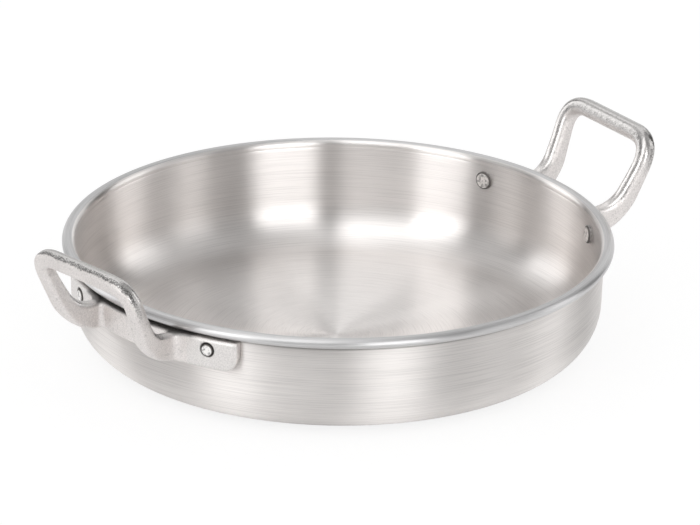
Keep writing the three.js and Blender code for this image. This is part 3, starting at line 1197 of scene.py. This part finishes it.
    def dress(self, mesh: bpy.types.Mesh, points: Array) -> None:
        """Keeps how high each point lies on the bar, masks of its worn, polished and flat places, and a mask
        of painted shade.

        Each point is measured in the frame of the nearest station: its way up over the bar's top edge is
        its height, and each mask is a product of steps in the ways along, up, across and out.

        Args:
            mesh: The handle's mesh.
            points: Its points before it is turned to its side.
        """
        centres, inside, up, way = self.strap()
        gap = np.sum(points ** 2, 1)[:, None] - 2 * points @ centres.T + np.sum(centres ** 2, 1)[None, :]
        near = np.argmin(gap, axis=1)
        end_way = np.minimum(way, way[-1] - way)[near]
        offset = points - centres[near]
        crown = np.sum(offset * up[near], axis=1) / self.top_edge(end_way)
        outer = 1.0 - smooth_step(np.sum(offset * inside[near], axis=1), *self.grip_across)
        arm = self.past_bend(end_way, self.arm_start) * (1.0 - self.past_bend(end_way, self.arm_end))
        out = np.hypot(points[:, 0], points[:, 1]) - self.form.wall_radius(points[:, 2])
        face = smooth_step(out, *(self.pad_thickness + end for end in self.pad_face))
        # Painted shade on the top face in the hollow beside each arm.
        hollow = (smooth_step(crown, *self.hollow_up) * (1.0 - smooth_step(out, *self.hollow_out))
                  * self.past_bend(end_way, self.hollow_along))
        folded = np.stack([points[:, 0], np.abs(points[:, 1]), points[:, 2]], -1)
        local = turn_z(folded, -self.rivet_angle)
        off = np.hypot(local[:, 1], local[:, 2] - self.rivet_z)
        # Painted shade in the countersink ring round each rivet.
        ring_shade = (1.0 - smooth_step(off, *self.ring_shade_edge)) * smooth_step(out, *self.ring_shade_out)
        set_values(mesh, "crown", crown)
        set_values(mesh, "worn", outer * self.past_bend(end_way, self.grip_along))
        set_values(mesh, "ridge", arm)
        set_values(mesh, "pad", face * (1.0 - self.past_bend(end_way, self.pad_end_along)))
        set_values(mesh, "handle_shade", np.maximum(ring_shade, self.hollow_shade_share * hollow))


@dataclass
class Rivet:
    """A rivet through the wall and a pad: flat head inside the pan, spread tail in the countersink."""

    handle: CastHandle
    place: Place
    head: float = 10.6
    head_height: float = 1.9
    head_round: float = 0.62
    seat_gap: float = 0.02
    undercut: float = 0.1
    shank: float = 6.4
    tail: float = 7.6
    tail_depth: float = 1.4
    tail_proud: float = 0.5
    tail_round: Span = (0.9, 0.2)
    columns: int = 64
    hammered: Span = (0.9, 0.4)
    hammer_turn: float = 0.9
    flats: Span = (0.10, 0.05)
    rim_shade_edge: Span = (0.76, 0.88)
    head_side_shade: float = 0.55

    @property
    def sign(self) -> float:
        """Which way round the pan the rivet lies from its handle's middle."""
        toward = 1.0 if self.place is Place.REAR else -1.0
        return toward if self.handle.side is Side.RIGHT else -toward

    def profile(self) -> Array:
        """Radius and way out along the rivet: crowned head, shank, tapered tail with a domed end.

        Returns:
            The points, from the middle of the head to the middle of the tail.
        """
        form = self.handle.form
        head, shank, tail = self.head / 2, self.shank / 2, self.tail / 2
        inside = form.wall_radius(self.handle.rivet_z) - form.wall
        seat = -form.wall - self.seat_gap - (inside - math.sqrt(inside ** 2 - head ** 2))
        under = seat + self.undercut
        face = self.handle.fit + self.handle.pad_thickness
        crown = self.head_height * self.head_round
        top = arc((head - crown, seat - self.head_height + crown), (crown, crown), -QUARTER, 0.0, count=12)
        wide, rise = self.tail_round
        end = arc((tail - wide, face - rise), (wide, rise + self.tail_proud), 0.0, QUARTER, count=10)
        return np.concatenate([
            [[0.0, seat - self.head_height]],
            line((0.0, seat - self.head_height), tuple(top[0]), count=8),
            top,
            line(tuple(top[-1]), (head, under), count=2),
            [[head, under]],
            [[shank, under]],
            line((shank, under), (shank, face - self.tail_depth), count=3),
            [[shank, face - self.tail_depth]],
            end,
            line(tuple(end[-1]), (0.0, face + self.tail_proud), count=8),
            [[0.0, face + self.tail_proud]],
        ])

    def build(self, finish: bpy.types.Material) -> bpy.types.Object:
        """Turns the profile about the rivet's axis, with shallow hammer flats on the head and the tail.

        The way out is lifted by a low wave of the angle, three flats to a turn, that grows with radius.

        Args:
            finish: The rivet's material.

        Returns:
            The dressed rivet.
        """
        profile = self.profile()
        rings = len(profile) - 2
        angle = np.linspace(0.0, FULL_TURN, self.columns, endpoint=False)
        radius, out = profile[1:-1, :1], profile[1:-1, 1:]
        start = self.sign * self.hammer_turn + self.handle.turn
        free = (out < profile[0, 1] + self.hammered[0]) | (out > profile[-1, 1] - self.hammered[1])
        three, two = self.flats
        spread = (radius / self.head * 2) ** 2
        wave = three * spread * np.cos(3 * angle + start) + two * np.cos(2 * angle - start)
        wave = np.where(free, wave * radius / self.head, 0.0)
        x = out + np.where(out < 0, wave, -np.abs(wave))
        grid = np.stack([x, radius * np.cos(angle), radius * np.sin(angle)], -1)
        poles = np.array([[profile[0, 1], 0.0, 0.0], [profile[-1, 1], 0.0, 0.0]])
        points = np.concatenate([grid.reshape(-1, 3), poles])
        name = f"upset_rivet_{self.handle.side.value}_{self.place.value}"
        mesh = make_mesh(name, self.seated(points), turned_faces(rings, self.columns))
        # Painted shade mask: the rims of head and tail and the hidden sides, darkened by the finish.
        rim = np.where(out < 0, self.head, self.tail) / 2
        side = np.where(out < 0, self.head_side_shade, 1.0)
        edge = np.where(free, smooth_step(radius / rim, *self.rim_shade_edge), side)
        set_values(mesh, "edge", np.concatenate([np.repeat(edge[:, 0], self.columns), [0.0, 0.0]]))
        mesh.materials.append(finish)
        rivet = put_in_scene(name, mesh)
        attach(rivet, "root")
        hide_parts(f"rivet_{self.handle.side.value}_{self.place.value}")
        return rivet

    def seated(self, points: Array) -> Array:
        """Moves points from the rivet's own axes, X outward, to their place in the pan.

        Args:
            points: Points about the rivet's axis.

        Returns:
            The points tilted with the wall, carried out to it and turned to the rivet's angle.
        """
        handle = self.handle
        taper = handle.form.taper
        tilted = points @ np.array([[math.cos(taper), 0.0, -math.sin(taper)], [0.0, 1.0, 0.0],
                                    [math.sin(taper), 0.0, math.cos(taper)]])
        moved = tilted + np.array([handle.form.wall_radius(handle.rivet_z), 0.0, handle.rivet_z])
        return turn_z(moved, handle.turn + self.sign * handle.rivet_angle)


@dataclass(frozen=True)
class LightBank:
    """A tall soft light beside the set, as the metal mirrors it; azimuths count from the camera's side."""

    azimuth: float
    half_width: float
    level: float
    edge: float = 3.0

    def share(self, graph: Graph, heading: Socket) -> Socket:
        """The bank's level at a heading: full ahead of it, half at its half width, with soft edges.

        Args:
            graph: Tree of the surround.
            heading: Level unit direction.

        Returns:
            The light the bank adds there.
        """
        turn = math.radians(self.azimuth)
        outer, inner = (math.cos(math.radians(self.half_width + way)) for way in (self.edge, -self.edge))
        ahead = graph.vector("DOT_PRODUCT", heading, (math.sin(turn), -math.cos(turn), 0.0))
        return graph.ease(ahead.outputs["Value"], outer, inner, 0.0, self.level)


@dataclass
class Studio:
    """Camera, white floor and soft surround.

    The camera's and the key light's places are in metres, the lens and sensor and the floor's lengths
    in millimetres, and angles in degrees.
    """

    azimuth: float = -39.25
    elevation: float = 21.93
    distance: float = 6.885
    roll: float = 0.70
    lens: float = 610.6
    sensor: float = 36.0
    aim: Triple = (0.0, 0.0, 0.040)
    aim_right: float = 0.0071
    aim_up: float = 0.0072
    floor_half: float = 4000.0
    floor_z: float = -0.4
    floor_grain: float = 900.0
    floor_tones: tuple[Colour, Colour] = ((0.22, 0.22, 0.22), (0.24, 0.24, 0.24))
    floor_lift: float = 0.83
    painted_shadow_seen: Span = (108.0, 132.0)
    painted_shadow_mirrored: Span = (118.0, 162.0)
    white: Colour = (1.0, 1.0, 1.0)
    soft_level: Colour = (0.72, 0.72, 0.72)
    key_size: float = 2.0
    key_energy: float = 4.0
    key_place: Triple = (-0.9, -0.2, 1.9)
    key_aim: Triple = (0.0, 0.0, 0.05)
    gap_level: float = 0.005
    high_rise: Span = (0.42, 0.68)
    low_banks: tuple[LightBank, ...] = (
        LightBank(180.0, 22.0, 0.75),
        LightBank(-150.0, 12.0, 0.6),
        LightBank(-114.5, 13.0, 1.85),
        LightBank(-93.0, 8.0, 0.16),
        LightBank(-75.0, 9.5, 0.52),
        LightBank(-47.0, 11.7, 3.15),
        LightBank(-17.5, 17.0, 0.42),
        LightBank(23.7, 13.7, 3.4),
        LightBank(48.0, 10.0, 0.33),
        LightBank(68.0, 8.5, 0.95),
        LightBank(86.0, 9.0, 0.7),
        LightBank(105.0, 11.0, 1.75),
        LightBank(150.0, 12.0, 0.75),
    )
    high_banks: tuple[LightBank, ...] = (
        LightBank(180.0, 30.0, 1.1, 6.0),
        LightBank(-135.0, 20.0, 0.78, 6.0),
        LightBank(-90.0, 28.0, 0.55, 6.0),
        LightBank(-29.0, 29.0, 1.6, 6.0),
        LightBank(23.0, 14.0, 0.7, 6.0),
        LightBank(60.0, 22.0, 0.42, 6.0),
        LightBank(110.0, 28.0, 0.57, 6.0),
    )

    def place_camera(self) -> None:
        """Sets a long lens at the photograph's angle; the frame is moved by the aim, not by shift."""
        turn, rise, roll = (math.radians(angle) for angle in (self.azimuth, self.elevation, self.roll))
        back = Vector((math.sin(turn) * math.cos(rise), -math.cos(turn) * math.cos(rise), math.sin(rise)))
        right = Vector((math.cos(turn), math.sin(turn), 0.0))
        up = back.cross(right)
        across = right * math.cos(roll) + up * math.sin(roll)
        upward = up * math.cos(roll) - right * math.sin(roll)
        sight = Vector(self.aim) + back * self.distance
        sight += across * self.aim_right + upward * self.aim_up
        data = bpy.data.cameras.new("camera")
        data.lens = self.lens
        data.sensor_width = self.sensor
        data.dof.use_dof = False
        camera = bpy.data.objects.new("camera", data)
        camera.matrix_world = Matrix.Translation(sight) @ Matrix((across, upward, back)).transposed().to_4x4()
        bpy.context.scene.collection.objects.link(camera)
        bpy.context.scene.camera = camera

    def lay_floor(self) -> None:
        """Lays a pale sheet that is lifted to white, for the eye and in the metal, a little way off the pan.

        The lift is a glow that rises with the distance from the pan's axis, so the sheet keeps the pan's
        shadow;
        where the glow fades near the pan it paints a soft shadow, seen and mirrored in the metal.
        """
        corners = np.array([[-1.0, -1.0], [1.0, -1.0], [1.0, 1.0], [-1.0, 1.0]]) * self.floor_half
        points = np.concatenate([corners, np.full((4, 1), self.floor_z)], 1)
        mesh = make_mesh("floor", points, [np.array([[0, 1, 2, 3]])])
        material = bpy.data.materials.new("floor_white")
        material.use_nodes = True
        graph = Graph(material.node_tree)
        material.node_tree.nodes.remove(material.node_tree.nodes["Principled BSDF"])
        place = graph.place()
        tone = graph.mix(graph.noise(place, self.floor_grain), *self.floor_tones)
        sheet = graph.node("ShaderNodeBsdfDiffuse", {"Color": tone})
        rays = graph.node("ShaderNodeLightPath").outputs
        plain = graph.math("MAXIMUM", rays["Is Camera Ray"], rays["Is Transmission Ray"])
        reach = graph.vector("LENGTH", place).outputs["Value"]
        # Painted shadow: the glow fades to nothing near the pan's axis, for the camera and for mirrored rays.
        seen, mirrored = (graph.ease(reach, *(end * MM for end in span))
                          for span in (self.painted_shadow_seen, self.painted_shadow_mirrored))
        lift = graph.math("MAXIMUM", graph.math("MULTIPLY", plain, seen),
                          graph.math("MULTIPLY", rays["Is Glossy Ray"], mirrored))
        lift = graph.math("MULTIPLY", lift, self.floor_lift)
        glow = graph.node("ShaderNodeEmission", {"Color": self.white, "Strength": lift})
        total = graph.numbered(graph.node("ShaderNodeAddShader"), {0: sheet.outputs[0], 1: glow.outputs[0]})
        graph.feed(material.node_tree.nodes["Material Output"].inputs["Surface"], total.outputs[0])
        mesh.materials.append(material)
        put_in_scene("floor", mesh)

    def hang_surround(self) -> None:
        """Lights the set from all round: white to the camera, tall soft banks with gaps in the metal.

        The metal sees a low row of banks that gives way to a high one as the direction rises.
        """
        world = bpy.data.worlds.new("surround")
        world.use_nodes = True
        bpy.context.scene.world = world
        graph = Graph(world.node_tree)
        way = graph.node("ShaderNodeTexCoord").outputs["Generated"]
        turned = graph.node("ShaderNodeVectorRotate", {"Vector": way, "Angle": -math.radians(self.azimuth)},
                            rotation_type="Z_AXIS")
        parts = graph.node("ShaderNodeSeparateXYZ", {"Vector": turned.outputs[0]}).outputs
        level = graph.node("ShaderNodeCombineXYZ", {"X": parts["X"], "Y": parts["Y"]})
        heading = graph.vector("NORMALIZE", level.outputs[0]).outputs[0]
        low, high = (self.add_banks(graph, heading, banks) for banks in (self.low_banks, self.high_banks))
        mirrored = graph.mix(graph.ease(parts["Z"], *self.high_rise), low, high)
        rays = graph.node("ShaderNodeLightPath").outputs
        light = graph.mix(rays["Is Glossy Ray"], self.soft_level, mirrored)
        seen = graph.math("MAXIMUM", rays["Is Camera Ray"], rays["Is Transmission Ray"])
        sky = world.node_tree.nodes["Background"]
        graph.feed(sky.inputs["Color"], graph.mix(seen, light, self.white))

    def add_banks(self, graph: Graph, heading: Socket, banks: tuple[LightBank, ...]) -> Feed:
        """Sums the gap between the lights and every bank's share at a heading.

        Args:
            graph: Tree of the surround.
            heading: Level unit direction.
            banks: The lights.

        Returns:
            The level there.
        """
        total: Feed = self.gap_level
        for bank in banks:
            total = graph.math("ADD", total, bank.share(graph, heading))
        return total

    def hang_key(self) -> None:
        """Hangs one large soft light above, for the pan's shadow and the bright edges."""
        data = bpy.data.lights.new("key", "AREA")
        data.shape = "DISK"
        data.size = self.key_size
        data.energy = self.key_energy
        key = bpy.data.objects.new("key", data)
        key.location = self.key_place
        key.rotation_euler = (Vector(self.key_aim) - key.location).to_track_quat("-Z", "Y").to_euler()
        bpy.context.scene.collection.objects.link(key)

    def build(self) -> None:
        """Sets up the whole studio with a plain view transform."""
        bpy.context.scene.view_settings.view_transform = "Standard"
        self.place_camera()
        self.lay_floor()
        self.hang_surround()
        self.hang_key()


SPUN = {
    Zone.INSIDE: SpunFinish(
        "turned_inside", pale=(0.85, 0.822, 0.805), dark=(0.75, 0.725, 0.71), roughness=(0.28, 0.35),
        anisotropy=1.0, spacing=0.32, relief=0.012, dulling=0.15),
    Zone.RIM: SpunFinish(
        "burnished_rim", pale=(0.635, 0.63, 0.632), dark=(0.515, 0.51, 0.512), roughness=(0.33, 0.42),
        anisotropy=0.8, spacing=0.30, relief=0.004, dulling=0.2),
    Zone.OUTSIDE: SpunFinish(
        "turned_outside", pale=(0.86, 0.83, 0.81), dark=(0.75, 0.723, 0.706), roughness=(0.46, 0.56),
        anisotropy=0.95, spacing=0.42, relief=0.016, dulling=0.3, painted_shade=0.8),
    Zone.BASE: SpunFinish(
        "turned_base", pale=(0.74, 0.715, 0.70), dark=(0.60, 0.58, 0.567), roughness=(0.44, 0.56),
        anisotropy=0.8, spacing=0.9, relief=0.02, dulling=0.6),
}
CAST = CastFinish("cast_skin", matt=(0.815, 0.78, 0.763), bright=(0.57, 0.555, 0.545),
                  linished=(0.77, 0.745, 0.73), grain=0.75)
RIVET = RivetFinish("hammered_rivet", pale=(0.92, 0.90, 0.885), marked=(0.40, 0.39, 0.385),
                    dark=(0.14, 0.13, 0.125))


def main() -> None:
    """Builds the studio and the pan's pieces in order, and reports each."""
    logging.basicConfig(level=logging.INFO, format="%(name)s: %(message)s")
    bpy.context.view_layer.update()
    Studio().build()
    form = PanForm()
    handles = [CastHandle(form, side) for side in Side]
    shaded = tuple((handle.turn, handle.pad_end / handle.pad_radius) for handle in handles)
    finishes = {zone: finish.material() for zone, finish in SPUN.items()}
    pieces = [SpunPan(form, shaded).build(finishes)]
    cast, upset = CAST.material(), RIVET.material()
    for handle in handles:
        pieces.append(handle.build(cast))
        pieces.extend(Rivet(handle, place).build(upset) for place in Place)
    for piece in pieces:
        LOG.info("%s: %d faces", piece.name, len(piece.data.polygons))


if __name__ == "__main__":
    main()
